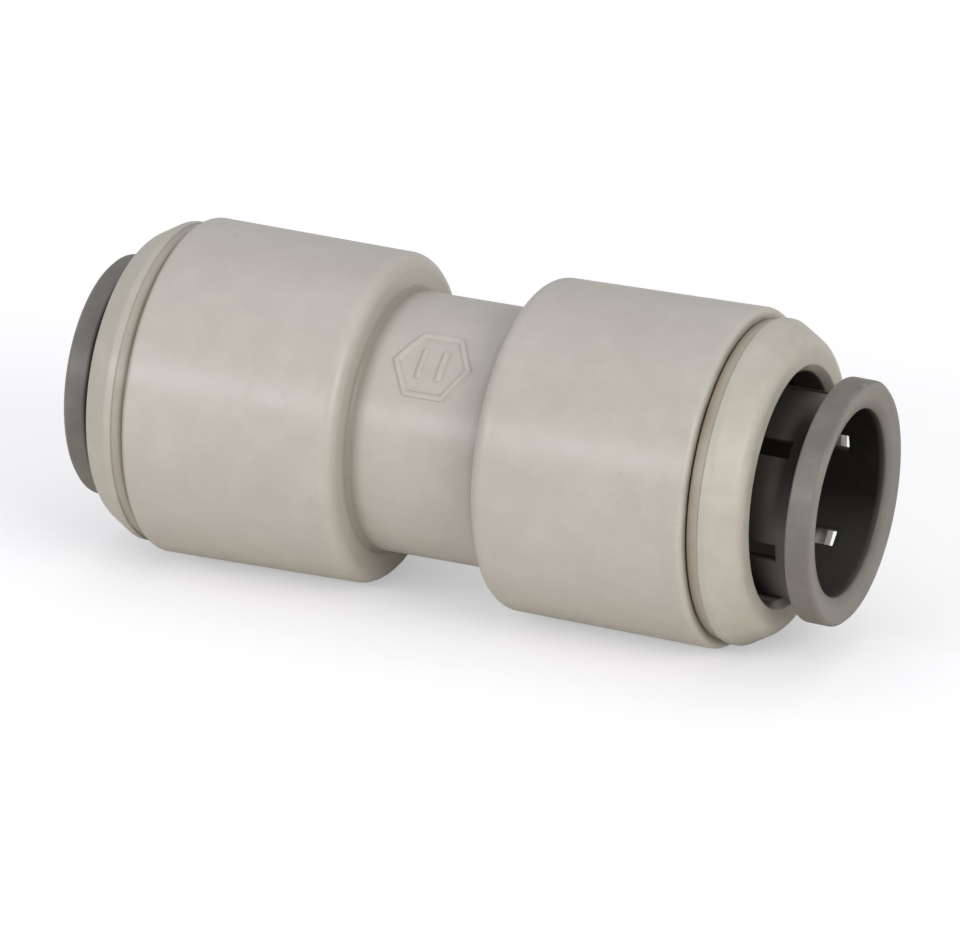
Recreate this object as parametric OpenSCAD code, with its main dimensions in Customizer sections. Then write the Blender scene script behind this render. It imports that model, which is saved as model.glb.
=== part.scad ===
// Straight push-fit union for 15 mm outside diameter tube.
// Tube axis along X, origin at the middle of the body on that axis, +Z up, front towards -Y.
// The right-hand (+X) release collet stands out, the left-hand one is pushed in.

/* [Body] */
// Distance from the middle of the body to the seam with each end cap
body_half = 24.4; // [24.2:0.05:25.2]
// Barrel radius at the seam, the fat end of the mould draft
barrel_r_end = 13.83; // [13.7:0.01:14.2]
// Barrel radius where the shoulder starts
barrel_r_shoulder = 13.6; // [13.5:0.01:13.7]
// Radius of the waist between the two barrels
waist_r = 10.65; // [10.5:0.05:10.9]
// Distance from the middle to where each shoulder reaches full barrel radius
shoulder_x = 7.15; // [6.8:0.05:8]
// Radius of the rounded shoulder
shoulder_round = 1.2; // [0.3:0.05:1.4]
// Fillet between waist and shoulder
waist_fillet = 0.5; // [0.3:0.05:1.2]
// Edge radius of the barrel at the seam
barrel_edge_round = 0.5; // [0.3:0.05:0.6]

/* [Flow path] */
// Radius of the straight waterway through the middle
waterway_r = 6; // [5.5:0.1:6.4]
// Distance from the middle to the step the tube stops against
tube_stop_x = 3; // [2.5:0.1:3.5]
// Radius of the tube seat
seat_r = 7.6; // [7.56:0.01:7.64]
// Distance from the middle to the end of the tube seat
seat_end_x = 12.2; // [12.1:0.02:12.24]

/* [Seal] */
// Radius of the counterbore the sealing ring sits in
gland_r = 10.1; // [10.1:0.02:10.2]
// Section radius of the sealing ring
ring_section_r = 1.35; // [1.3:0.01:1.35]
// Distance from the middle to the step that carries the spacer ring
spacer_step_x = 15.4; // [15.3:0.02:15.5]
// Thickness of the wide part of the spacer ring
spacer_thick = 1; // [0.9:0.02:1.04]
// Bore radius of the spacer ring
spacer_bore_r = 7.75; // [7.7:0.01:8]

/* [End cap] */
// Radius of the cap spigot inside the body
spigot_r = 11.9; // [11.8:0.02:12]
// Radius of the visible cap rim
cap_r = 13.22; // [13.12:0.01:13.3]
// Radius at the bottom of the recessed band beside the seam
cap_groove_r = 12.94; // [12.8:0.01:12.98]
// Radius where the recessed band meets the cap rim
cap_band_r = 13.07; // [13:0.01:13.1]
// Tilt of the bevelled front edge of the cap from the tube axis
cap_bevel_angle = 30.5; // [28:0.5:34]
// Distance from the start of the bevel to the front face of the cap
cap_bevel_length = 2.45; // [2.2:0.05:2.6]
// Distance from the middle to the front face of the cap
cap_front_x = 28.65; // [28.5:0.01:28.8]
// Radius that rounds the bevel into the front face of the cap
cap_nose_round = 1.5; // [1:0.1:1.7]
// Radius of the hole the collet slides through
cap_hole_r = 9.3; // [9.2:0.01:9.4]
// Depth of the bevel around the hole
hole_bevel = 0.6; // [0.3:0.05:0.7]
// Radius of the chamber behind the locking cone
chamber_r = 10.75; // [10.7:0.01:10.8]

/* [Collet] */
// Sliding travel of each collet
collet_travel = 2.7; // [2.3:0.05:2.75]
// How far the pushed-in collet rests short of its inner limit
rest_gap = 0.25; // [0:0.01:1]
// Radius of the collet flange
flange_r = 9.95; // [9.7:0.01:10.1]
// Thickness of the collet flange
flange_thick = 2.3; // [2:0.05:2.6]
// Depth of the lead-in dish in the flange face
lead_in_depth = 0.55; // [0.4:0.05:0.7]
// Bore radius of the collet
collet_bore_r = 7.62; // [7.6:0.01:7.66]
// Outside radius of the finger necks
neck_r = 8.35; // [8.25:0.01:8.5]
// Outside radius of the finger heads
head_r = 10.6; // [10.5:0.01:10.62]
// Width of the slots between fingers
slot_w = 1.5; // [1.2:0.05:1.8]
// Solid ring left between the slots and the flange
slot_ring = 1.4; // [0.8:0.05:1.7]
// Angle of the right collet's first slot up from the front of the part
slot_phase = 48; // [40:1:60]

/* [Teeth] */
// Arc covered by each grip tooth
tooth_arc = 26; // [18:1:30]
// Radius of the tooth tip circle
tooth_tip_r = 7.38; // [7.36:0.01:7.44]
// Radius of the buried tooth root
tooth_root_r = 9.4; // [9.2:0.05:9.5]

/* [Mark] */
// Height of the raised mark on the waist
mark_height = 0.2; // [0.1:0.02:0.3]
// Size of the raised mark across its corners
mark_size = 6.8; // [5.5:0.1:7]
// Line width of the raised mark
mark_line = 0.5; // [0.4:0.05:0.7]
// Angle of the raised mark up from the front of the part
mark_angle = 51; // [40:1:65]

/* [Hidden] */
$fn = 96;
round_facets = 48; // edge rounds and ring section
overlap = 0.01;    // joins neighbouring shapes
bore_overlap = 0.1;
cut_past = 1;      // how far cuts run beyond the faces they open
embed = 0.3;       // depth that waist details are sunk into the waist

light_grey = [0.76, 0.75, 0.71];
dark_grey = [0.42, 0.41, 0.39];
off_white = [0.85, 0.84, 0.8];
black = [0.09, 0.09, 0.09];
steel = [0.72, 0.73, 0.75];

// Names ending in _x are distances from the middle along the axis, those in _r are radii.

// Seal stack
spacer_out_x = spacer_step_x + spacer_thick;
ring_r = gland_r - ring_section_r;
ring_gap = 0.05; // from the end of the tube seat
ring_x = seat_end_x + ring_gap + ring_section_r;

// Cap: the locking cone narrows outwards from the chamber to the hole
cap_hole_depth = 3.25;
cone_length = 3.2;
hole_start_x = cap_front_x - cap_hole_depth;
cone_start_x = hole_start_x - cone_length;
cone_slope = (chamber_r - cap_hole_r) / cone_length;

// Collet and teeth, in the pulled-out position on the right
flange_gap = 0.25;     // flange to cap face when pushed fully in
head_gap = 0.5;        // heads to spacer ring when pushed fully in
cone_play = 0.15;      // axial play between heads and locking cone
head_front_length = 1; // hole start back to the outer end of the head cone
flange_back_x = cap_front_x + flange_gap + collet_travel;
flange_front_x = flange_back_x + flange_thick;
head_in_x = spacer_out_x + head_gap + collet_travel;
head_front_x = hole_start_x - head_front_length;
head_front_r = cap_hole_r + (head_front_length - cone_play) * cone_slope;
head_cone_x = hole_start_x - cone_play - (head_r - cap_hole_r) / cone_slope;
tooth_x = head_in_x + 1.45; // tooth tips
finger_count = 6;
slot_pitch = 360 / finger_count;
first_slot_turn = 90 - slot_phase; // about X, from straight up

// Profiles are half sections: sketch X is the radius, sketch Y the distance along the axis.
module on_axis() { rotate([0, 90, 0]) children(); }
module other_end() { rotate([0, 0, 180]) children(); }

// section of a plain cylinder
module step(radius, start_x, length) {
    translate([0, start_x]) square([radius, length]);
}

// section of a cut that widens up to a face and runs on past it
module flare(start_r, face_r, face_x, depth) {
    polygon([[0, face_x - depth], [start_r, face_x - depth], [face_r, face_x],
        [face_r, face_x + cut_past], [0, face_x + cut_past]]);
}

// right half of the outer body section
module half_outline() {
    shoulder_face_x = shoulder_x - shoulder_round;
    fillet_x = shoulder_face_x - waist_fillet;
    edge_r = barrel_r_end - barrel_edge_round;
    edge_x = body_half - barrel_edge_round;

    step(waist_r, -overlap, shoulder_x);
    step(barrel_r_shoulder - shoulder_round, shoulder_face_x, shoulder_round + overlap);
    translate([barrel_r_shoulder - shoulder_round, shoulder_x])
        circle(shoulder_round, $fn = round_facets);
    // fillet between waist and shoulder face
    difference() {
        translate([waist_r - embed, fillet_x])
            square([waist_fillet + embed, waist_fillet + overlap]);
        translate([waist_r + waist_fillet, fillet_x])
            circle(waist_fillet, $fn = round_facets);
    }
    // drafted barrel and its rounded edge
    polygon([[0, shoulder_x], [barrel_r_shoulder, shoulder_x], [barrel_r_end, edge_x],
        [edge_r, edge_x], [edge_r, body_half], [0, body_half]]);
    translate([edge_r, edge_x]) circle(barrel_edge_round, $fn = round_facets);
}

// right half of the stepped bore: waterway, tube seat, sealing ring gland, cap socket
module half_bore() {
    stop_bevel = 0.3;
    seat_bevel = 0.35;

    step(waterway_r, -overlap, tube_stop_x + bore_overlap);
    polygon([[0, tube_stop_x], [waterway_r + stop_bevel, tube_stop_x],
        [waterway_r, tube_stop_x - stop_bevel], [0, tube_stop_x - stop_bevel]]);
    step(seat_r, tube_stop_x, seat_end_x - tube_stop_x + bore_overlap);
    polygon([[0, seat_end_x - seat_bevel], [seat_r, seat_end_x - seat_bevel],
        [seat_r + seat_bevel, seat_end_x], [0, seat_end_x]]);
    step(gland_r, seat_end_x, spacer_step_x - seat_end_x + bore_overlap);
    step(spigot_r, spacer_step_x, body_half - spacer_step_x + cut_past);
}

// hexagon outline with two plain bars
module mark_sketch() {
    bar_offset = mark_size * 0.13;
    bar_length = mark_size * 0.4;

    difference() {
        circle(mark_size / 2, $fn = 6);
        circle(mark_size / 2 - mark_line, $fn = 6);
    }
    for (side = [-1, 1])
        translate([side * bar_offset - mark_line / 2, -bar_length / 2])
            square([mark_line, bar_length]);
}

// mark sketch trimmed to a thin band around the waist
module mark() {
    band_length = 8;

    intersection() {
        rotate([90 - mark_angle, 0, 0]) linear_extrude(waist_r + 2) mark_sketch();
        on_axis() difference() {
            cylinder(r = waist_r + mark_height, h = band_length, center = true);
            cylinder(r = waist_r - embed, h = band_length + 1, center = true);
        }
    }
}

module body() {
    color(light_grey) {
        on_axis() rotate_extrude() difference() {
            union() {
                half_outline();
                mirror([0, 1]) half_outline();
            }
            union() {
                half_bore();
                mirror([0, 1]) half_bore();
            }
        }
        mark();
    }
}

// spigot and visible cap, without the opening
module cap_outline() {
    seam_step = 0.32; // radial step from the seam face up to the band
    seam_x = body_half + 0.2;
    band_end_x = body_half + 1.1;
    rim_x = band_end_x + 0.12;
    bevel_x = max(rim_x + 0.1, cap_front_x - cap_bevel_length);
    // centre of the nose round, tangent to the bevel and the front face
    nose_x = cap_front_x - cap_nose_round;
    nose_r = cap_r + (bevel_x - nose_x) * tan(cap_bevel_angle)
        - cap_nose_round / cos(cap_bevel_angle);

    step(spigot_r, spacer_out_x, body_half - spacer_out_x + overlap);
    polygon([[0, body_half], [cap_groove_r - seam_step, body_half], [cap_groove_r, seam_x],
        [cap_band_r, band_end_x], [cap_r, rim_x], [cap_r, bevel_x],
        [nose_r + cap_nose_round * cos(cap_bevel_angle),
            nose_x + cap_nose_round * sin(cap_bevel_angle)],
        [nose_r, nose_x], [nose_r, cap_front_x], [0, cap_front_x]]);
    translate([nose_r, nose_x]) circle(cap_nose_round, $fn = round_facets);
}

module end_cap() {
    color(light_grey) on_axis() rotate_extrude() difference() {
        union() cap_outline();
        // chamber, locking cone, hole and its bevel
        step(chamber_r, spacer_out_x - cut_past, cone_start_x - spacer_out_x + cut_past);
        polygon([[0, cone_start_x - overlap], [chamber_r, cone_start_x - overlap],
            [chamber_r, cone_start_x], [cap_hole_r, hole_start_x], [0, hole_start_x]]);
        step(cap_hole_r, hole_start_x - overlap, cap_front_x - hole_start_x + cut_past);
        flare(cap_hole_r, cap_hole_r + hole_bevel, cap_front_x, hole_bevel);
    }
}

module o_ring() {
    color(black) on_axis() rotate_extrude()
        translate([ring_r, ring_x]) circle(ring_section_r, $fn = round_facets);
}

module spacer_ring() {
    play = 0.1; // radial, inside the gland and the socket
    bevel = 0.4;
    bore_cut_length = 5;
    nose_x = ring_x + ring_section_r;

    color(off_white) on_axis() rotate_extrude() difference() {
        union() {
            step(gland_r - play, nose_x, spacer_out_x - nose_x);
            step(spigot_r - play, spacer_step_x, spacer_thick);
        }
        step(spacer_bore_r, nose_x - cut_past, bore_cut_length);
        flare(spacer_bore_r, spacer_bore_r + bevel, spacer_out_x, bevel);
    }
}

// leaning blade midway between slots k and k + 1,
// tip towards the middle of the fitting so it bites when the tube is pulled
module tooth(k) {
    color(steel)
        rotate([first_slot_turn + slot_pitch * (k + 0.5) + tooth_arc / 2, 0, 0])
            on_axis() mirror([1, 0, 0]) rotate_extrude(angle = tooth_arc) polygon([
                [tooth_root_r, tooth_x + 1.3], [tooth_root_r, tooth_x + 1.9],
                [collet_bore_r + 0.3, tooth_x + 0.7], [tooth_tip_r, tooth_x]]);
}

// flange, finger necks and finger heads, without the bore
module collet_outline() {
    back_bevel = 0.2;
    front_bevel = 0.3;
    neck_fillet = 0.4;
    head_bevel_r = 0.5;
    head_bevel_x = 0.7;
    head_end_x = head_front_x + 0.5;

    polygon([[0, flange_back_x], [flange_r - back_bevel, flange_back_x],
        [flange_r, flange_back_x + back_bevel], [flange_r, flange_front_x - front_bevel],
        [flange_r - front_bevel, flange_front_x], [0, flange_front_x]]);
    step(neck_r, head_front_x + 0.4, flange_back_x - head_front_x);
    // fillet between neck and flange
    difference() {
        step(neck_r + neck_fillet, flange_back_x - neck_fillet, neck_fillet + 0.1);
        translate([neck_r + neck_fillet, flange_back_x - neck_fillet])
            circle(neck_fillet, $fn = 36);
    }
    polygon([[0, head_in_x], [head_r - head_bevel_r, head_in_x],
        [head_r, head_in_x + head_bevel_x], [head_r, head_cone_x],
        [head_front_r, head_front_x], [neck_r, head_end_x], [0, head_end_x]]);
}

module collet() {
    profile_turn = 11; // angle between a slot and the start of the revolved profile
    dish_lip = 0.55;   // flat left around the lead-in dish, before the edge bevel
    inner_bevel = 0.5;
    slot_start_x = head_in_x - cut_past;
    slot_end_x = flange_back_x - slot_ring;
    slot_reach = 14;

    color(dark_grey) difference() {
        rotate([first_slot_turn + profile_turn, 0, 0]) on_axis() rotate_extrude() difference() {
            union() collet_outline();
            // bore, lead-in dish and bevel at the inner end
            step(collet_bore_r, head_in_x - cut_past, flange_front_x - head_in_x + 2 * cut_past);
            flare(collet_bore_r, flange_r - dish_lip, flange_front_x, lead_in_depth);
            polygon([[0, head_in_x - cut_past],
                [collet_bore_r + inner_bevel, head_in_x - cut_past],
                [collet_bore_r + inner_bevel, head_in_x],
                [collet_bore_r, head_in_x + inner_bevel], [0, head_in_x + inner_bevel]]);
        }
        // slots and tooth pockets
        for (k = [0:finger_count - 1]) {
            rotate([first_slot_turn + slot_pitch * k, 0, 0])
                translate([slot_start_x, -slot_w / 2, 0])
                    cube([slot_end_x - slot_start_x, slot_w, slot_reach]);
            tooth(k);
        }
    }
}

// left-hand side, pushed in towards the middle
module left_position() {
    translate([collet_travel - rest_gap, 0, 0]) other_end() children();
}

module left_end_cap() { other_end() end_cap(); }
module right_end_cap() { end_cap(); }
module left_o_ring() { other_end() o_ring(); }
module right_o_ring() { o_ring(); }
module left_spacer_ring() { other_end() spacer_ring(); }
module right_spacer_ring() { spacer_ring(); }
module left_collet() { left_position() collet(); }
module right_collet() { collet(); }
module left_tooth_1() { left_position() tooth(0); }
module left_tooth_2() { left_position() tooth(1); }
module left_tooth_3() { left_position() tooth(2); }
module left_tooth_4() { left_position() tooth(3); }
module left_tooth_5() { left_position() tooth(4); }
module left_tooth_6() { left_position() tooth(5); }
module right_tooth_1() { tooth(0); }
module right_tooth_2() { tooth(1); }
module right_tooth_3() { tooth(2); }
module right_tooth_4() { tooth(3); }
module right_tooth_5() { tooth(4); }
module right_tooth_6() { tooth(5); }

body();
left_end_cap();
right_end_cap();
left_o_ring();
right_o_ring();
left_spacer_ring();
right_spacer_ring();
left_collet();
right_collet();
left_tooth_1();
left_tooth_2();
left_tooth_3();
left_tooth_4();
left_tooth_5();
left_tooth_6();
right_tooth_1();
right_tooth_2();
right_tooth_3();
right_tooth_4();
right_tooth_5();
right_tooth_6();
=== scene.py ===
"""Straight push-in tube connector, lying along X on a pale floor.

A waisted barrel spans the middle. Each end carries a cap, a slotted release collet with six
steel teeth, an O-ring and a spacer ring. Pieces are modelled for the right end (+X) and turned
about Z for the left end. -Y is the front, +Z is up. Sizes are in mm, meshes in metres.
"""

import math

import bmesh
import bpy
import numpy as np
from mathutils import Matrix, Vector


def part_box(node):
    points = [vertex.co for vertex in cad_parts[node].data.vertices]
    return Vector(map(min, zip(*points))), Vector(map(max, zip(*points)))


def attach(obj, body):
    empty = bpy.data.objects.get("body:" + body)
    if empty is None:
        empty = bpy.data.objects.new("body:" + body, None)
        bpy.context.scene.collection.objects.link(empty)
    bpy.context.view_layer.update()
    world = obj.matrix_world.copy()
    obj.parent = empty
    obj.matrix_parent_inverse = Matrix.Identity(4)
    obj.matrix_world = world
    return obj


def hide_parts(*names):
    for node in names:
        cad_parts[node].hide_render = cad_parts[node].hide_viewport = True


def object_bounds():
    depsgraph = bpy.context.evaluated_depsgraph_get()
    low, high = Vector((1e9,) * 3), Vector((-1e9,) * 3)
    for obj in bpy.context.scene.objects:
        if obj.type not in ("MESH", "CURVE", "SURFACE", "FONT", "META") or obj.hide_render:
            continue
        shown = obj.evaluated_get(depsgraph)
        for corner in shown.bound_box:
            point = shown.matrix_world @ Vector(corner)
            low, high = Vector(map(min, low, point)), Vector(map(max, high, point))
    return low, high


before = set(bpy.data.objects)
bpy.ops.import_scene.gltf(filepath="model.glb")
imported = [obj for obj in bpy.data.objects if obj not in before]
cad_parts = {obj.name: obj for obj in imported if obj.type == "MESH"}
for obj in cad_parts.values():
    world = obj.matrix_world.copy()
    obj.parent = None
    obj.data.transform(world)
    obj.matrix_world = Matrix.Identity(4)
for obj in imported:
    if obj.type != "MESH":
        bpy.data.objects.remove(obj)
CAD_LO, CAD_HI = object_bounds()
MM = 0.001

# ---------------------------------------------------------------- sizes (mm)


def box_mm(node):
    lo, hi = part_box(node)
    return lo / MM, hi / MM


BODY_HI = box_mm("body")[1]
CAP_LO, CAP_HI = box_mm("right_end_cap")
COLLET_LO, COLLET_HI = box_mm("right_collet")
LEFT_COLLET_LO = box_mm("left_collet")[0]
RING_LO, RING_HI = box_mm("right_o_ring")
SPACER_LO, SPACER_HI = box_mm("right_spacer_ring")

# barrel, outside
HALF = BODY_HI.x                       # seam with the cap
R_END = BODY_HI.z                      # barrel radius at the seam
R_SHOULDER = R_END - 0.23
R_WAIST = 10.65
SHOULDER_X = 7.15                      # where the shoulder reaches its radius
SHOULDER_ROUND = 1.2
SHOULDER_FACE = SHOULDER_X - SHOULDER_ROUND
WAIST_FILLET = 0.5
END_ROUND = 0.5

# barrel, inside
BORE_R = 6.0
R_SEAT = 7.6                           # bore the tube end sits in
STOP_X = 3.0                           # step that stops the tube
GLAND_R = RING_HI.z
SPIGOT_R = 11.9
SEAT_END = RING_LO.x - 0.05
STEP_X = SPACER_HI.x - 1.0             # from the gland to the spigot bore

# raised mark on the waist: a hexagon outline round two bars
MARK_TURN = math.radians(39)           # from straight up towards the front
MARK_FAN = math.radians(21)            # half the arc that gets fine columns
MARK_SIZE = 3.4                        # centre to corner
MARK_LINE = 0.46
MARK_HEIGHT = 0.19
MARK_FLANK = 0.17                      # width of the soft flanks
BAR_X = 0.88                           # centre of each bar
BAR_HALF_WIDTH = 0.25
BAR_HALF_LENGTH = 1.36

# end cap
CAP_IN = CAP_LO.x
CAP_FRONT = CAP_HI.x
CAP_SEAM = HALF + 0.015
CAP_SPIGOT_R = SPIGOT_R - 0.02
CAP_R = 13.22
GROOVE_R = 12.94
BAND_R = 13.07
NOSE_LENGTH = 2.45
NOSE_CORNER_R = CAP_R - NOSE_LENGTH * math.tan(math.radians(30.5))
HOLE_R = 9.3
CHAMBER_R = 10.75
HOLE_END = CAP_FRONT - 3.25
CONE_END = HOLE_END - 3.2
CONE_SLOPE = (CHAMBER_R - HOLE_R) / (HOLE_END - CONE_END)

# collet
FLANGE_FRONT = COLLET_HI.x
FLANGE_BACK = FLANGE_FRONT - 2.3
FLANGE_R = 9.95
COLLET_BORE = 7.62
NECK_R = 8.35
HEAD_IN = COLLET_LO.x
HEAD_R = 10.4                          # a little under the chamber, to clear it when hanging
HEAD_FRONT = HOLE_END - 1.0
HEAD_CONE_TOP = HOLE_END - 0.15        # where the head's cone line meets the hole radius
HEAD_FRONT_R = HOLE_R + (HEAD_CONE_TOP - HEAD_FRONT) * CONE_SLOPE - 0.25
HEAD_CONE = HEAD_CONE_TOP - (HEAD_R + 0.2 - HOLE_R) / CONE_SLOPE
SLOTS = 6
SLOT_PITCH = 360 / SLOTS               # degrees
FIRST_SLOT = 42                        # degrees from straight up towards the front
SLOT_HALF = 1.5 / 2
SLOT_END = FLANGE_BACK - 1.4
EDGE = 0.13                            # edge rounding along the slots
EDGE_SHARES = (0.2, 0.5, 1.0)          # where the rounding gets its columns
LEFT_SHIFT = FLANGE_FRONT + LEFT_COLLET_LO.x   # the left collet rests further in

# teeth
TOOTH_X = HEAD_IN + 1.45
TOOTH_ARC = math.radians(26)
TOOTH_STEPS = 26

# seal
SEAL_SECTION = (RING_HI.x - RING_LO.x) / 2     # radius of the round section
SEAL_X = (RING_HI.x + RING_LO.x) / 2
SEAL_R = RING_HI.z - SEAL_SECTION
SEAL_FLASH = 0.015

# ---------------------------------------------------------------- mesh helpers


def ramp(value, start, end):
    """0 at start, 1 at end, held beyond them."""
    return max(0.0, min(1.0, (value - start) / (end - start)))


def rounded(corners, step=11.0):
    """Closed outline with true arcs at its corners, each arc step at most step degrees.

    Corner columns: x, r, corner radius, spacing of points on the edge that follows.
    """
    count = len(corners)
    arcs = []
    for i, (x, r, radius, _) in enumerate(corners):
        here = Vector((x, r))
        back = Vector(corners[i - 1][:2]) - here
        ahead = Vector(corners[(i + 1) % count][:2]) - here
        back_length, ahead_length = back.length, ahead.length
        back.normalize()
        ahead.normalize()
        angle = math.acos(max(-1, min(1, back.dot(ahead))))
        if radius <= 0 or angle > math.radians(179):
            arcs.append([here])
            continue
        half_tan = math.tan(angle / 2)
        cut = min(radius / half_tan, back_length * 0.45, ahead_length * 0.45)
        reach = cut * half_tan / math.sin(angle / 2)
        centre = here + (back + ahead).normalized() * reach
        start = here + back * cut - centre
        end = here + ahead * cut - centre
        turn = math.atan2(start.x * end.y - start.y * end.x, start.dot(end))
        steps = max(2, int(math.ceil(abs(math.degrees(turn)) / step)))
        arc = []
        for j in range(steps + 1):
            cos, sin = math.cos(turn * j / steps), math.sin(turn * j / steps)
            arc.append(centre + Vector((start.x * cos - start.y * sin,
                                        start.x * sin + start.y * cos)))
        arcs.append(arc)
    outline = []
    for i, arc in enumerate(arcs):
        target = arcs[(i + 1) % count][0]
        extra = int((target - arc[-1]).length / corners[i][3])
        outline += arc
        outline += [arc[-1].lerp(target, j / (extra + 1)) for j in range(1, extra + 1)]
    return [(p.x, p.y) for p in outline]


def outline_normals(outline):
    """Unit normals of a closed (x, r) outline, pointing out of the material."""
    p = np.array(outline)
    before, after = np.roll(p, 1, 0), np.roll(p, -1, 0)
    area = 0.5 * np.sum(p[:, 0] * after[:, 1] - after[:, 0] * p[:, 1])

    def unit(v):
        return v / (np.linalg.norm(v, axis=1)[:, None] + 1e-12)

    along = unit(unit(p - before) + unit(after - p))
    normals = np.stack([along[:, 1], -along[:, 0]], 1)
    return normals if area > 0 else -normals


def make_object(name, verts, faces, smooth_deg=32.0, recess=None):
    """Mesh object with outward normals; edges over smooth_deg are sharp."""
    mesh = bpy.data.meshes.new(name)
    mesh.from_pydata(verts, [], faces)
    mesh.update()
    if recess:
        mesh.attributes.new("recess", "FLOAT", "POINT").data.foreach_set("value", recess)
    mesh.validate()
    ob = bpy.data.objects.new(name, mesh)
    bpy.context.scene.collection.objects.link(ob)
    bm = bmesh.new()
    bm.from_mesh(mesh)
    bmesh.ops.remove_doubles(bm, verts=bm.verts, dist=1e-8)
    bmesh.ops.recalc_face_normals(bm, faces=bm.faces)
    if bm.calc_volume(signed=True) < 0:
        bmesh.ops.reverse_faces(bm, faces=bm.faces)
    limit = math.radians(smooth_deg)
    for edge in bm.edges:
        edge.smooth = len(edge.link_faces) != 2 or edge.calc_face_angle(0) <= limit
    for face in bm.faces:
        face.smooth = True
    bm.to_mesh(mesh)
    bm.free()
    mesh.update()
    return ob


def point(x, r, turn):
    """Point in metres at distance r from the X axis, turned from straight up to the front."""
    return (x * MM, -r * math.sin(turn) * MM, r * math.cos(turn) * MM)


def bridge(j, k, size):
    """Quads between the closed columns j and k, each of size points."""
    return [(j * size + i, j * size + (i + 1) % size, k * size + (i + 1) % size, k * size + i)
            for i in range(size)]


def lathe(name, outline, turns, lift=None):
    """Closed shape of revolution about X; lift(x, r, turn) raises a point along the radius."""
    verts = [point(x, r + (lift(x, r, turn) if lift else 0.0), turn)
             for turn in turns for x, r in outline]
    count = len(turns)
    faces = [quad for j in range(count) for quad in bridge(j, (j + 1) % count, len(outline))]
    return make_object(name, verts, faces)


def even(count):
    return [2 * math.pi * i / count for i in range(count)]


def twin(ob, shift=0.0):
    """Left-hand copy of a right-hand piece, turned about Z and moved along X."""
    copy = bpy.data.objects.new(ob.name.replace("right", "left"), ob.data.copy())
    bpy.context.scene.collection.objects.link(copy)
    turn = Matrix.Rotation(math.pi, 4, "Z")
    copy.data.transform(Matrix.Translation((shift * MM, 0, 0)) @ turn)
    copy.data.update()
    return copy


# ---------------------------------------------------------------- barrel


def quarter(x, r, radius, start, way, steps):
    """Quarter circle round (x, r), from start degrees, way +1 or -1."""
    turns = [math.radians(start + way * 90 * i / steps) for i in range(steps + 1)]
    return [(x + radius * math.cos(a), r + radius * math.sin(a)) for a in turns]


def barrel_outside():
    """From the middle out to the seam, open path."""
    fillet_x, fillet_r = SHOULDER_FACE - WAIST_FILLET, R_WAIST + WAIST_FILLET
    round_r = R_SHOULDER - SHOULDER_ROUND
    end_x = HALF - END_ROUND
    waist_steps = int(fillet_x / 0.1)
    path = [(fillet_x * i / waist_steps, R_WAIST) for i in range(waist_steps)]
    path += quarter(fillet_x, fillet_r, WAIST_FILLET, start=-90, way=1, steps=12)
    path += [(SHOULDER_FACE, fillet_r + (round_r - fillet_r) * i / 4) for i in range(1, 4)]
    path += quarter(SHOULDER_X, round_r, SHOULDER_ROUND, start=180, way=-1, steps=12)
    path += [(SHOULDER_X + (end_x - SHOULDER_X) * i / 22,
              R_SHOULDER + (R_END - R_SHOULDER) * i / 22) for i in range(1, 23)]
    path += quarter(end_x, R_END - END_ROUND, END_ROUND, start=90, way=-1, steps=8)[1:]
    return path


def barrel_inside():
    """From the end face in to the middle, open path."""
    closing_r = 20                     # closes the loop outside the barrel, cut off below
    outline = rounded([
        (HALF, R_END - 0.75, 0, 9), (HALF, SPIGOT_R + 0.25, 0, 9),
        (HALF - 0.25, SPIGOT_R, 0.0, 1.2), (STEP_X, SPIGOT_R, 0.12, 1.0),
        (STEP_X, GLAND_R + 0.03, 0.12, 1.0), (SEAT_END, GLAND_R + 0.03, 0.12, 1.0),
        (SEAT_END, R_SEAT + 0.35, 0.08, 1.0), (SEAT_END - 0.35, R_SEAT, 0.08, 0.9),
        (STOP_X, R_SEAT, 0.15, 0.9), (STOP_X, BORE_R + 0.3, 0.08, 0.6),
        (STOP_X - 0.3, BORE_R, 0.08, 0.6), (0.0, BORE_R, 0, 9),
        (0, closing_r, 0, 99), (HALF, closing_r, 0, 99),
    ])
    return [(x, r) for x, r in outline if r < R_END - 0.7 and x > -1e-6]


def barrel_outline():
    right = barrel_outside() + barrel_inside()[:-1]
    left = [(-x, r) for x, r in reversed(right) if x > 1e-6]
    return right + [(0.0, BORE_R)] + left


def barrel_turns():
    """Fine columns round the raised mark, coarser elsewhere."""
    fine, coarse = 84, 190
    rest = 2 * math.pi - 2 * MARK_FAN
    return ([MARK_TURN - MARK_FAN + 2 * MARK_FAN * i / fine for i in range(fine)]
            + [MARK_TURN + MARK_FAN + rest * i / coarse for i in range(coarse)])


def plateau(outside):
    """1 within an edge, 0 beyond it, with a soft flank; outside is the distance past it."""
    t = ramp(outside, MARK_FLANK / 2, -MARK_FLANK / 2)
    return t * t * (3 - 2 * t)


def mark_lift(x, r, turn):
    """Height of the raised mark on the waist; the hexagon has corners on the x line."""
    if r < R_WAIST - 0.2 or r > R_WAIST + 0.3:
        return 0.0
    x = abs(x)
    around = abs((turn - MARK_TURN + math.pi) % (2 * math.pi) - math.pi) * R_WAIST
    flat = math.sqrt(3) / 2
    outside = max(around, x * flat + around * 0.5) - MARK_SIZE * flat
    hexagon = min(plateau(outside), 1 - plateau(outside + MARK_LINE))
    bars = min(plateau(abs(x - BAR_X) - BAR_HALF_WIDTH), plateau(around - BAR_HALF_LENGTH))
    return MARK_HEIGHT * max(hexagon, bars)


barrel = lathe("body_shell", barrel_outline(), barrel_turns(), mark_lift)

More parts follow.
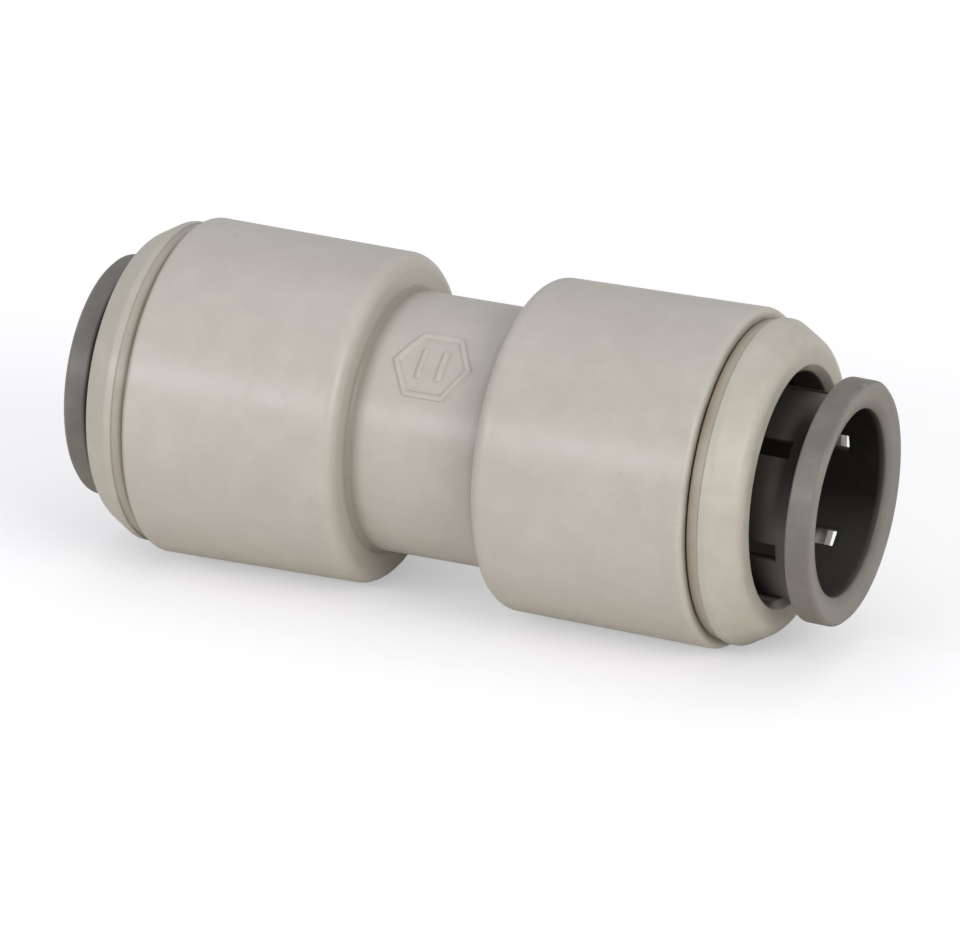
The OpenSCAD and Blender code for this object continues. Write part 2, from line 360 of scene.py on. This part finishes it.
# ---------------------------------------------------------------- end caps
CAP_CORNERS = [                        # see rounded() for the columns
    (CAP_IN, CAP_SPIGOT_R, 0.25, 1.2), (CAP_SEAM, CAP_SPIGOT_R, 0.05, 1.0),
    (CAP_SEAM, GROOVE_R - 0.7, 0.02, 0.5), (HALF + 0.13, GROOVE_R - 0.65, 0.04, 0.2),
    (HALF + 0.17, GROOVE_R + 0.01, 0.06, 0.2), (HALF + 1.1, BAND_R, 0.06, 0.2),
    (HALF + 1.2, CAP_R, 0.1, 0.2), (CAP_FRONT - NOSE_LENGTH, CAP_R, 0.6, 0.3),
    (CAP_FRONT, NOSE_CORNER_R, 1.5, 0.4), (CAP_FRONT, HOLE_R + 0.62, 0.18, 0.3),
    (CAP_FRONT - 0.62, HOLE_R, 0.22, 0.5), (HOLE_END, HOLE_R, 0.2, 0.5),
    (CONE_END, CHAMBER_R, 0.3, 0.8), (CAP_IN, CHAMBER_R, 0.2, 0.5),
]
right_cap = lathe("right_cap_shell", rounded(CAP_CORNERS, step=8), even(240))
left_cap = twin(right_cap)

# ---------------------------------------------------------------- collets


def collet_outline():
    lips = [SLOT_END + EDGE * share for share in (0, *EDGE_SHARES)]
    return rounded([
        (HEAD_IN + 0.5, COLLET_BORE, 0.3, 0.8),
        *[(x, COLLET_BORE, 0, 9) for x in lips[:-1]], (lips[-1], COLLET_BORE, 0, 0.5),
        (FLANGE_FRONT - 0.55, COLLET_BORE, 0.22, 0.3),
        (FLANGE_FRONT, FLANGE_R - 0.55, 0.1, 0.2), (FLANGE_FRONT, FLANGE_R - 0.3, 0.14, 0.2),
        (FLANGE_FRONT - 0.3, FLANGE_R, 0.14, 0.4), (FLANGE_BACK, FLANGE_R, 0.24, 0.3),
        (FLANGE_BACK, NECK_R, 0.42, 0.3),
        *[(x, NECK_R, 0, 9) for x in lips[:0:-1]], (SLOT_END, NECK_R, 0, 0.5),
        (HEAD_FRONT + 0.5, NECK_R, 0.3, 0.4), (HEAD_FRONT, HEAD_FRONT_R, 0.18, 0.4),
        (HEAD_CONE, HEAD_R, 0.3, 0.5), (HEAD_IN + 0.7, HEAD_R, 0.3, 0.3),
        (HEAD_IN, HEAD_R - 0.5, 0.18, 0.4), (HEAD_IN, COLLET_BORE + 0.5, 0.18, 0.3),
    ], step=12)


def collet_columns():
    """Columns (kind, slot number, value) round the collet.

    The value is a share of half the slot, a distance from the slot wall, or a share of
    the finger, by kind.
    """
    columns = []
    for k in range(SLOTS):
        columns += [("slot", k, share) for share in (-1.0, -0.5, 0.0, 0.5, 1.0)]
        columns += [("after slot", k, share * EDGE) for share in EDGE_SHARES]
        columns += [("finger", k, q / 26) for q in range(1, 26)]
        columns += [("before next", k, share * EDGE) for share in reversed(EDGE_SHARES)]
    return columns


def column_turn(kind, slot, value, r):
    """Turn of a column at radius r, so that slot walls stay flat and parallel."""
    start = math.radians(FIRST_SLOT + SLOT_PITCH * slot)
    pitch = math.radians(SLOT_PITCH)
    if kind == "slot":
        return start + math.asin(value * SLOT_HALF / r)
    if kind == "after slot":
        return start + math.asin((SLOT_HALF + value) / r)
    if kind == "before next":
        return start + pitch - math.asin((SLOT_HALF + value) / r)
    margin = math.asin((SLOT_HALF + EDGE) / r)
    return start + margin + (pitch - 2 * margin) * value


def shade_and_wear_at(x, r, place):
    """How much shade is painted on, up to 1; negative where the flange face is rubbed pale."""
    _, y, z = place
    # painted shade in the bore
    bore = ramp(r, 8.05, 7.7) * ramp(x, FLANGE_FRONT - 0.3, FLANGE_FRONT - 1.0)
    # the floor of the bore catches a little more light than its roof
    bore *= 1.0 - 0.24 * ramp(-z / MM / r, 0.3, 0.8)
    # painted shade on the neck, lighter towards the flange
    neck = 0.0
    if (x < FLANGE_BACK - 0.02 or r < 8.9) and x < FLANGE_BACK + 0.1:
        neck = 0.86 - 0.42 * ramp(x, CAP_FRONT, CAP_FRONT + 3.0)
        # a patch of painted shadow at the root of the flange, round the end of the first slot
        off_patch = abs(math.degrees(math.atan2(-y, z)) - 46.0)
        patch = ramp(off_patch, 44.0, 22.0) * ramp(x, FLANGE_BACK - 2.5, FLANGE_BACK - 1.4)
        neck += (1.0 - neck) * patch
    if bore + neck > 0.02:
        return max(bore, neck)
    pale = ramp(x, FLANGE_FRONT - 0.62, FLANGE_FRONT - 0.32) * ramp(r, 8.1, 8.6)
    if r > 9.5:
        pale *= ramp(x, FLANGE_FRONT - 0.25, FLANGE_FRONT - 0.05)
    return -pale


def collet_points(outline, columns):
    """Vertices and values of painted shade and wear, with the edges along the slots rounded
    off.
    """
    normals = outline_normals(outline)
    verts, recess = [], []
    for kind, slot, value in columns:
        gap = {"slot": 0.0, "finger": math.inf}.get(kind, value)
        for (x, r), normal in zip(outline, normals):
            off = math.hypot(max(0.0, x - SLOT_END), gap)
            inset = 0.0
            if off < EDGE:
                inset = EDGE - math.sqrt(max(0.0, EDGE**2 - (EDGE - off) ** 2))
            inset_r = r - normal[1] * inset
            turn = column_turn(kind, slot, value, inset_r)
            verts.append(point(x - normal[0] * inset, inset_r, turn))
            recess.append(shade_and_wear_at(x, r, verts[-1]))
    return verts, recess


def collet_faces(outline, columns):
    size, count = len(outline), len(columns)
    solid = [x > SLOT_END - 1e-6 for x, r in outline]
    at_end = [i for i, (x, r) in enumerate(outline) if abs(x - SLOT_END) < 1e-6]
    bore_end = min(at_end, key=lambda i: outline[i][1])
    neck_end = max(at_end, key=lambda i: outline[i][1])
    faces = []
    for j in range(count):
        k = (j + 1) % count
        in_slot = columns[j][0] == "slot" and columns[k][0] == "slot"
        for i, quad in enumerate(bridge(j, k, size)):
            if not in_slot or (solid[i] and solid[(i + 1) % size]):
                faces.append(quad)
        if in_slot:
            faces.append((j * size + bore_end, j * size + neck_end,
                          k * size + neck_end, k * size + bore_end))
    # flat slot walls: from the neck at the slot end round the head to the bore
    steps = (bore_end - neck_end) % size
    walk = [(neck_end + step) % size for step in range(steps + 1)]
    for j, (kind, _, value) in enumerate(columns):
        if kind == "slot" and abs(value) == 1.0:
            faces.append(tuple(j * size + i for i in walk))
    return faces


def collet_mesh(name):
    outline, columns = collet_outline(), collet_columns()
    verts, recess = collet_points(outline, columns)
    ob = make_object(name, verts, collet_faces(outline, columns), 40, recess)
    # drop the points left inside the slots and split the slot walls into triangles
    bm = bmesh.new()
    bm.from_mesh(ob.data)
    loose = [v for v in bm.verts if not v.link_faces]
    bmesh.ops.delete(bm, geom=loose, context="VERTS")
    bmesh.ops.triangulate(bm, faces=[f for f in bm.faces if len(f.verts) > 4])
    bm.to_mesh(ob.data)
    bm.free()
    ob.data.update()
    return ob


right_collet = collet_mesh("right_collet_shell")
left_collet = twin(right_collet, LEFT_SHIFT)

# ---------------------------------------------------------------- grip teeth


def tooth_mesh(number):
    """Steel blade in the middle of a finger, leaning inwards, with its ends eased."""
    profile = rounded([
        (TOOTH_X + 1.32, 9.38, 0.03, 0.4), (TOOTH_X + 1.88, 9.38, 0.03, 0.4),
        (TOOTH_X + 0.7, COLLET_BORE + 0.3, 0.1, 0.4), (TOOTH_X, 7.38, 0.02, 0.4)], step=30)
    normals = outline_normals(profile)
    middle = math.radians(FIRST_SLOT + SLOT_PITCH * (number - 0.5))
    # columns: place across the blade from -1 to 1, how far the profile shrinks
    columns = [(-1, 0.05), (-0.985, 0.015)]
    columns += [((-1 + 2 * i / TOOTH_STEPS) * 0.965, 0.0) for i in range(TOOTH_STEPS + 1)]
    columns += [(0.985, 0.015), (1, 0.05)]
    verts = [point(x - normal[0] * shrink, r - normal[1] * shrink,
                   middle + across * TOOTH_ARC / 2)
             for across, shrink in columns for (x, r), normal in zip(profile, normals)]
    size, last = len(profile), len(columns) - 1
    faces = [quad for j in range(last) for quad in bridge(j, j + 1, size)]
    faces += [tuple(range(size)), tuple(last * size + i for i in range(size))]
    return make_object("right_tooth_blade_%d" % number, verts, faces, 30)


right_teeth = [tooth_mesh(number) for number in range(1, SLOTS + 1)]
left_teeth = [twin(tooth, LEFT_SHIFT) for tooth in right_teeth]

# ---------------------------------------------------------------- seals and spacer rings


def seal_outline():
    """Round section with a faint flash line round its inside and its outside."""
    outline = []
    for a in even(44):
        flash = math.exp(-((math.sin(a) ** 2 - 1) / 0.004) ** 2)
        section = SEAL_SECTION - SEAL_FLASH + SEAL_FLASH * flash
        outline.append((SEAL_X + section * math.cos(a), SEAL_R + section * math.sin(a)))
    return outline


right_seal = lathe("right_o_ring_rubber", seal_outline(), even(144))
left_seal = twin(right_seal)

SPACER_IN = SPACER_LO.x + 0.01
SPACER_OUT = SPACER_HI.x - 0.005
SPACER_CORNERS = [                     # see rounded() for the columns
    (SPACER_IN, 7.75, 0.12, 0.5), (SPACER_HI.x - 0.4, 7.75, 0.1, 0.4),
    (SPACER_OUT, 8.15, 0.1, 0.5), (SPACER_OUT, SPIGOT_R - 0.1, 0.15, 0.4),
    (STEP_X + 0.01, SPIGOT_R - 0.1, 0.15, 0.5), (STEP_X + 0.01, GLAND_R - 0.1, 0.06, 0.3),
    (SPACER_IN, GLAND_R - 0.1, 0.12, 0.5),
]
right_spacer = lathe("right_spacer_moulding", rounded(SPACER_CORNERS, step=14), even(160))
left_spacer = twin(right_spacer)

# ---------------------------------------------------------------- material helpers
MIDDLE = (0.3, 0.7)                    # the range most of a noise falls in


class Shader:
    """A principled material and short calls that add nodes to it. Lengths are in metres."""

    def __init__(self, name):
        self.material = bpy.data.materials.new(name)
        self.material.use_nodes = True
        self.tree = self.material.node_tree
        self.tree.nodes.clear()
        output = self.add("ShaderNodeOutputMaterial")
        self.bsdf = self.add("ShaderNodeBsdfPrincipled")
        self.put(output, 0, self.bsdf.outputs[0])
        self.place = self.add("ShaderNodeTexCoord").outputs["Object"]

    def add(self, kind, **props):
        node = self.tree.nodes.new(kind)
        for name, value in props.items():
            setattr(node, name, value)
        return node

    def put(self, node, name, value):
        if isinstance(value, bpy.types.NodeSocket):
            self.tree.links.new(value, node.inputs[name])
        else:
            node.inputs[name].default_value = value

    def surface(self, inputs):
        for name, value in inputs.items():
            self.put(self.bsdf, name, value)

    def noise(self, scale, detail, rough, stretch=None):
        node = self.add("ShaderNodeTexNoise")
        source = self.place
        if stretch:
            mapping = self.add("ShaderNodeMapping")
            self.put(mapping, "Scale", stretch)
            self.put(mapping, "Vector", source)
            source = mapping.outputs["Vector"]
        self.put(node, "Scale", scale)
        self.put(node, "Detail", detail)
        self.put(node, "Roughness", rough)
        self.put(node, "Vector", source)
        return node.outputs["Fac"]

    def span(self, source, of, to=(0, 1)):
        """Maps the range of onto the range to, held beyond it."""
        node = self.add("ShaderNodeMapRange")
        self.put(node, "From Min", of[0])
        self.put(node, "From Max", of[1])
        self.put(node, "To Min", to[0])
        self.put(node, "To Max", to[1])
        self.put(node, "Value", source)
        return node.outputs["Result"]

    def mix(self, amount, under, over):
        node = self.add("ShaderNodeMix", data_type="RGBA")
        self.put(node, 0, amount)
        self.put(node, 6, under)
        self.put(node, 7, over)
        return node.outputs[2]

    def math(self, operation, a, b=0.0):
        node = self.add("ShaderNodeMath", operation=operation)
        self.put(node, 0, a)
        self.put(node, 1, b)
        return node.outputs[0]

    def times(self, a, b):
        return self.math("MULTIPLY", a, b)

    def bump(self, height, strength, distance, normal=None):
        node = self.add("ShaderNodeBump")
        self.put(node, "Strength", strength)
        self.put(node, "Distance", distance)
        self.put(node, "Height", height)
        if normal is not None:
            self.put(node, "Normal", normal)
        return node.outputs["Normal"]

    def along(self):
        """Place along the tube axis."""
        node = self.add("ShaderNodeSeparateXYZ")
        self.put(node, 0, self.place)
        return node.outputs["X"]

    def off_middle(self):
        """Distance along the tube axis from the middle of the barrel."""
        return self.math("ABSOLUTE", self.along())

    def pointiness(self):
        return self.add("ShaderNodeNewGeometry").outputs["Pointiness"]

    def openness(self, distance):
        node = self.add("ShaderNodeAmbientOcclusion", samples=4, inside=False)
        self.put(node, "Distance", distance)
        return node.outputs["AO"]

    def patchy(self, mask, scale, to):
        """Breaks a mask up with noise that scales it by the range to."""
        noise = self.noise(scale=scale, detail=4, rough=0.6)
        return self.times(mask, self.span(noise, of=MIDDLE, to=to))


def srgb(*levels):
    """Linear RGBA from 0-255 sRGB levels."""
    shares = [level / 255 for level in levels]
    return (*[v / 12.92 if v <= 0.04045 else ((v + 0.055) / 1.055) ** 2.4 for v in shares], 1.0)


# ---------------------------------------------------------------- plastics


def moulded_plastic(name, tones, rough=0.34, sss=0.08, wear=0.35, crease_shade_and_grime=0.75, marks=None):
    """Satin moulded acetal with worn edges, and painted shade tinted like grime in its creases.

    marks(n, color, slow, mid) lays a piece's own marks and painted shade over the color.
    """
    n = Shader(name)
    base, shade, light, dirt_and_shade = (tones[key] for key in ("base", "shade", "light", "dirt_and_shade"))
    slow = n.noise(scale=55, detail=3, rough=0.5)
    mid = n.noise(scale=420, detail=5, rough=0.6)
    fine = n.noise(scale=5200, detail=3, rough=0.6)
    # slow colour drift, lighter blotches, flow streaks and dark specks
    color = n.mix(n.span(slow, of=MIDDLE), base, shade)
    color = n.mix(n.times(n.span(mid, of=(0.42, 0.72)), 0.35), color, light)
    streak = n.noise(scale=260, detail=3, rough=0.5, stretch=(0.18, 1.0, 1.0))
    color = n.mix(n.times(n.span(streak, of=(0.5, 0.75)), 0.18), color, shade)
    speck = n.noise(scale=1500, detail=2, rough=0.5)
    color = n.mix(n.times(n.span(speck, of=(0.71, 0.77)), 0.12), color, dirt_and_shade)
    # lighter rubbed edges, broken up by noise
    patches = n.span(n.noise(scale=900, detail=4, rough=0.6), of=(0.35, 0.65), to=(0.3, 1.0))
    rub = n.times(n.span(n.pointiness(), of=(0.515, 0.58)), patches)
    color = n.mix(n.times(rub, wear), color, light)
    # painted shade in the creases, tinted like grime
    crease = n.span(n.openness(distance=0.0011), of=(0.25, 0.95), to=(1, 0))
    crease = n.patchy(crease, scale=700, to=(0.55, 1.0))
    color = n.mix(n.times(crease, crease_shade_and_grime), color, dirt_and_shade)
    if marks:
        color = marks(n, color, slow, mid)
    # rubbed edges are glossier, scuffs round the tube duller
    gloss = n.span(mid, of=MIDDLE, to=(rough - 0.05, rough + 0.07))
    gloss = n.math("ADD", gloss, n.times(rub, -0.08))
    scuff = n.noise(scale=620, detail=5, rough=0.65, stretch=(1.0, 0.25, 0.25))
    gloss = n.math("ADD", gloss, n.span(scuff, of=(0.55, 0.75), to=(0.0, 0.12)))
    normal = n.bump(fine, strength=0.3, distance=0.000012)
    normal = n.bump(mid, strength=0.25, distance=0.00003, normal=normal)
    normal = n.bump(slow, strength=0.3, distance=0.00015, normal=normal)
    n.surface({
        "Base Color": color, "Roughness": gloss, "Normal": normal, "IOR": 1.48,
        "Specular IOR Level": 0.42, "Subsurface Weight": sss,
        "Subsurface Radius": (1.0, 0.85, 0.65), "Subsurface Scale": 0.0012,
    })
    return n


# dirt_and_shade is the tone for specks of dirt and for painted shade in creases, corners and
# bands
BODY_TONES = dict(base=srgb(188, 183, 177), shade=srgb(180, 175, 168),
                  light=srgb(200, 196, 188), dirt_and_shade=srgb(118, 112, 98))
CAP_TONES = dict(base=srgb(183, 179, 170), shade=srgb(179, 175, 165),
                 light=srgb(202, 198, 190), dirt_and_shade=srgb(124, 107, 84))
COLLET_TONES = dict(base=srgb(118, 115, 110), shade=srgb(106, 103, 98),
                    light=srgb(142, 139, 134), dirt_and_shade=srgb(30, 28, 24))
SPACER_TONES = dict(base=srgb(214, 210, 200), shade=srgb(204, 200, 190),
                    light=srgb(228, 225, 216), dirt_and_shade=srgb(140, 132, 112))


def body_marks(n, color, slow, mid):
    # painted shade, tinted brown, in a line on the left edge of the barrel, where it meets the
    # cap
    lip = -HALF * MM
    line = n.span(n.along(), of=(lip + 0.00006, lip + 0.0004), to=(1, 0))
    line = n.patchy(line, scale=500, to=(0.3, 0.55))
    color = n.mix(line, color, srgb(72, 62, 46))
    # shade and grime in the corner where the shoulder face meets the waist
    corner = SHOULDER_FACE * MM
    off = n.off_middle()
    nook = n.times(n.span(off, of=(corner - 0.0015, corner - 0.0002)),
                   n.span(off, of=(corner - 0.00003, corner + 0.00001), to=(1, 0)))
    face = n.times(n.span(off, of=(corner - 0.00008, corner), to=(0, 0.12)),
                   n.span(off, of=(corner + 0.0001, corner + 0.0004), to=(1, 0)))
    nook = n.patchy(n.math("MAXIMUM", nook, face), scale=420, to=(0.8, 1.0))
    return n.mix(n.times(nook, 0.62), color, BODY_TONES["dirt_and_shade"])


def cap_marks(n, color, slow, mid):
    seam = HALF * MM
    off = n.off_middle()

    def in_band(mask):
        return n.times(mask, n.span(off, of=(seam + 0.00112, seam + 0.00122), to=(1, 0)))

    # right end: painted shade with a brown tint of grime in the recessed band, thickest against
    # the barrel
    band = in_band(n.span(off, of=(seam + 0.0001, seam + 0.0011), to=(1.0, 0.3)))
    band = n.patchy(band, scale=500, to=(0.75, 1.0))
    # left end: less painted shade, little more than a line at the seam
    line = in_band(n.span(off, of=(seam + 0.0003, seam + 0.0006), to=(1.2, 0.16)))
    right_side = n.span(n.along(), of=(-0.001, 0.001))
    band = n.math("ADD", n.times(band, right_side),
                  n.times(line, n.math("SUBTRACT", 1.0, right_side)))
    color = n.mix(n.times(band, 0.74), color, CAP_TONES["dirt_and_shade"])
    # painted shade where the light hardly reaches
    hollow_shade = n.span(n.openness(distance=0.007), of=(0.05, 0.4), to=(1, 0))
    return n.mix(n.times(hollow_shade, 0.75), color, srgb(74, 64, 48))


def collet_marks(n, color, slow, mid):
    recess = n.add("ShaderNodeAttribute", attribute_name="recess").outputs["Fac"]
    # negative recess is the rubbed flange face
    pale = n.times(n.span(recess, of=(-1.0, 0.0), to=(0.52, 0.0)),
                   n.span(slow, of=MIDDLE, to=(0.7, 1.0)))
    color = n.mix(pale, color, COLLET_TONES["light"])
    # painted shade in deep hollows, joined below with the painted shade from the attribute
    hollow_shade = n.span(n.openness(distance=0.007), of=(0.3, 0.8), to=(1, 0))
    attribute_shade = n.times(n.span(recess, of=(0.0, 1.0)), n.span(mid, of=MIDDLE, to=(0.93, 1.0)))
    hollow_shade = n.math("MAXIMUM", n.times(hollow_shade, 0.5), attribute_shade)
    # no gloss is left where the painted shade lies thickest
    n.surface({"Specular IOR Level": n.span(recess, of=(0.5, 1.0), to=(0.42, 0.1))})
    # dark painted shade over the bore, the neck and the hollows
    return n.mix(n.times(hollow_shade, 0.96), color, srgb(15, 13, 11))


# ---------------------------------------------------------------- rubber and steel


def seal_rubber():
    """Black nitrile with a film of grease and a fine flow texture."""
    n = Shader("nitrile_rubber")
    mid = n.noise(scale=900, detail=5, rough=0.6)
    slow = n.noise(scale=140, detail=3, rough=0.5)
    color = n.mix(n.span(slow, of=MIDDLE), srgb(24, 24, 25), srgb(36, 36, 37))
    color = n.mix(n.times(n.span(mid, of=(0.55, 0.75)), 0.4), color, srgb(52, 52, 52))
    fine = n.noise(scale=4200, detail=3, rough=0.6)
    normal = n.bump(fine, strength=0.4, distance=0.00001)
    n.surface({
        "Base Color": color, "Roughness": n.span(mid, of=MIDDLE, to=(0.36, 0.62)),
        "Normal": n.bump(mid, strength=0.3, distance=0.00002, normal=normal),
        "Coat Weight": 0.35, "Coat Roughness": 0.22,
    })
    return n


def spring_steel():
    """Stainless strip: rolled grain, slightly heat-tinted, bright sheared edges."""
    n = Shader("stainless_strip")
    grain = n.noise(scale=2600, detail=5, rough=0.7, stretch=(0.12, 1.0, 1.0))
    slow = n.noise(scale=320, detail=3, rough=0.5)
    color = n.mix(n.span(slow, of=MIDDLE), srgb(186, 187, 188), srgb(206, 204, 200))
    color = n.mix(n.times(n.span(grain, of=(0.45, 0.7)), 0.35), color, srgb(160, 160, 162))
    edge = n.span(n.pointiness(), of=(0.52, 0.6))
    n.surface({
        "Base Color": n.mix(n.times(edge, 0.6), color, srgb(232, 232, 230)),
        "Metallic": 1.0, "Roughness": n.span(grain, of=MIDDLE, to=(0.2, 0.4)),
        "Normal": n.bump(grain, strength=0.35, distance=0.000008),
    })
    return n


body_plastic = moulded_plastic("acetal_light_grey", BODY_TONES, marks=body_marks)
cap_plastic = moulded_plastic("acetal_light_grey_cap", CAP_TONES, marks=cap_marks)
collet_plastic = moulded_plastic("acetal_dark_grey", COLLET_TONES, rough=0.38, sss=0.02,
                                 wear=0.5, crease_shade_and_grime=0.9, marks=collet_marks)
spacer_plastic = moulded_plastic("acetal_natural", SPACER_TONES, rough=0.36)
rubber = seal_rubber()
steel = spring_steel()

# ---------------------------------------------------------------- put the pieces in place


def hang(pieces, pivot_x, tilt_deg, drop):
    """Lets a collet without a tube hang in its play: tipped about its head and dropped."""
    pivot = Vector((pivot_x * MM, 0, 0))
    tilt = Matrix.Rotation(math.radians(tilt_deg), 4, "Y")
    move = (Matrix.Translation((0, 0, -drop * MM)) @ Matrix.Translation(pivot)
            @ tilt @ Matrix.Translation(-pivot))
    for ob in pieces:
        ob.data.transform(move)
        ob.data.update()


def shade_back_rim(ob):
    """A line of painted shade along the back rim of the pushed-in left flange."""
    recess = ob.data.attributes["recess"].data
    for v in ob.data.vertices:
        from_back = -v.co.x / MM + LEFT_SHIFT - FLANGE_BACK
        if math.hypot(v.co.y, v.co.z) / MM > 9.2 and from_back < 0.45:
            recess[v.index].value = 0.95


def dress(ob, shader, body_name, node):
    ob.data.materials.append(shader.material)
    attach(ob, body_name)
    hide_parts(node)


hang([right_collet] + right_teeth, pivot_x=21.4, tilt_deg=1.25, drop=0.3)
hang([left_collet] + left_teeth, pivot_x=-19.0, tilt_deg=-0.6, drop=0.12)
shade_back_rim(left_collet)

dress(barrel, body_plastic, "housing", "body")
dress(right_cap, cap_plastic, "housing", "right_end_cap")
dress(left_cap, cap_plastic, "housing", "left_end_cap")
dress(right_seal, rubber, "housing", "right_o_ring")
dress(left_seal, rubber, "housing", "left_o_ring")
dress(right_spacer, spacer_plastic, "housing", "right_spacer_ring")
dress(left_spacer, spacer_plastic, "housing", "left_spacer_ring")
dress(right_collet, collet_plastic, "right_release_collet", "right_collet")
dress(left_collet, collet_plastic, "left_release_collet", "left_collet")
for number, pair in enumerate(zip(right_teeth, left_teeth), start=1):
    for side, tooth in zip(("right", "left"), pair):
        dress(tooth, steel, side + "_release_collet", "%s_tooth_%d" % (side, number))

# ---------------------------------------------------------------- floor, light, camera
FLOOR_HALF = 6.0                       # metres
FLOOR_GAP = 0.00002                    # metres below the product


def floor_material():
    """Pale floor: warm in the light it sheds, cooler and glowing as the camera sees it."""
    n = Shader("pale_floor")

    def drift(one, other):
        slow = n.noise(scale=3, detail=2, rough=0.5)
        return n.mix(n.span(slow, of=MIDDLE), one, other)

    shed = drift((0.87, 0.84, 0.78, 1.0), (0.85, 0.82, 0.76, 1.0))
    seen = drift((0.774, 0.774, 0.7965, 1.0), (0.765, 0.765, 0.7875, 1.0))
    camera_ray = n.add("ShaderNodeLightPath").outputs["Is Camera Ray"]
    n.surface({
        "Base Color": n.mix(camera_ray, shed, seen), "Roughness": 0.9,
        "Specular IOR Level": 0.1, "Emission Color": (0.98, 0.98, 1.0, 1.0),
        "Emission Strength": n.times(camera_ray, 0.375),
    })
    return n.material


def make_floor():
    z = CAD_LO.z - FLOOR_GAP
    mesh = bpy.data.meshes.new("floor")
    signs = ((-1, -1), (1, -1), (1, 1), (-1, 1))
    corners = [(x * FLOOR_HALF, y * FLOOR_HALF, z) for x, y in signs]
    mesh.from_pydata(corners, [], [(0, 1, 2, 3)])
    floor = bpy.data.objects.new("floor", mesh)
    bpy.context.scene.collection.objects.link(floor)
    mesh.materials.append(floor_material())


def make_world(strength):
    world = bpy.data.worlds.new("studio")
    bpy.context.scene.world = world
    world.use_nodes = True
    background = world.node_tree.nodes["Background"]
    background.inputs["Color"].default_value = (1.0, 1.0, 1.0, 1.0)
    background.inputs["Strength"].default_value = strength


def make_camera(azimuth, elevation, distance, shift_right, shift_up):
    """Looks from the front, turned azimuth degrees to the right; lengths in mm."""
    azimuth, elevation = math.radians(azimuth), math.radians(elevation)
    toward = Vector((math.sin(azimuth) * math.cos(elevation),
                     -math.cos(azimuth) * math.cos(elevation), math.sin(elevation)))
    right = Vector((math.cos(azimuth), math.sin(azimuth), 0.0))
    up = toward.cross(right)
    data = bpy.data.cameras.new("camera")
    camera = bpy.data.objects.new("camera", data)
    bpy.context.scene.collection.objects.link(camera)
    data.sensor_width = 36.0
    data.lens = 337.5
    data.clip_start, data.clip_end = 0.01, 50
    camera.location = (toward * distance + right * shift_right + up * shift_up) * MM
    camera.rotation_mode = "QUATERNION"
    camera.rotation_quaternion = Matrix((right, up, toward)).transposed().to_quaternion()
    bpy.context.scene.camera = camera


def softbox(name, direction, distance, size, power, color=(1, 1, 1)):
    """Area light facing the origin; metres and watts."""
    data = bpy.data.lights.new(name, "AREA")
    data.shape = "RECTANGLE"
    data.size, data.size_y = size
    data.energy = power
    data.color = color
    light = bpy.data.objects.new(name, data)
    bpy.context.scene.collection.objects.link(light)
    direction = Vector(direction).normalized()
    light.location = direction * distance
    light.rotation_mode = "QUATERNION"
    light.rotation_quaternion = direction.to_track_quat("Z", "Y")


make_floor()
make_world(strength=0.58)
make_camera(azimuth=23.634, elevation=23.266, distance=727.09646,
            shift_right=1.1129, shift_up=-2.6863)
softbox("top_softbox", direction=(-0.1, 0.25, 1.0), distance=1.0, size=(1.0, 0.7), power=0.5)
softbox("strip_softbox", direction=(-0.368, -0.841, 0.405), distance=0.9, size=(0.62, 0.08),
        power=2.22, color=(0.95, 0.96, 1.0))
softbox("front_softbox", direction=(1.0, -0.55, 0.55), distance=1.0, size=(0.5, 0.5),
        power=4.08, color=(1.0, 0.98, 0.93))

bpy.context.scene.view_settings.view_transform = "Standard"
bpy.context.scene.view_settings.look = "None"

# ---------------------------------------------------------------- update
bpy.context.view_layer.update()
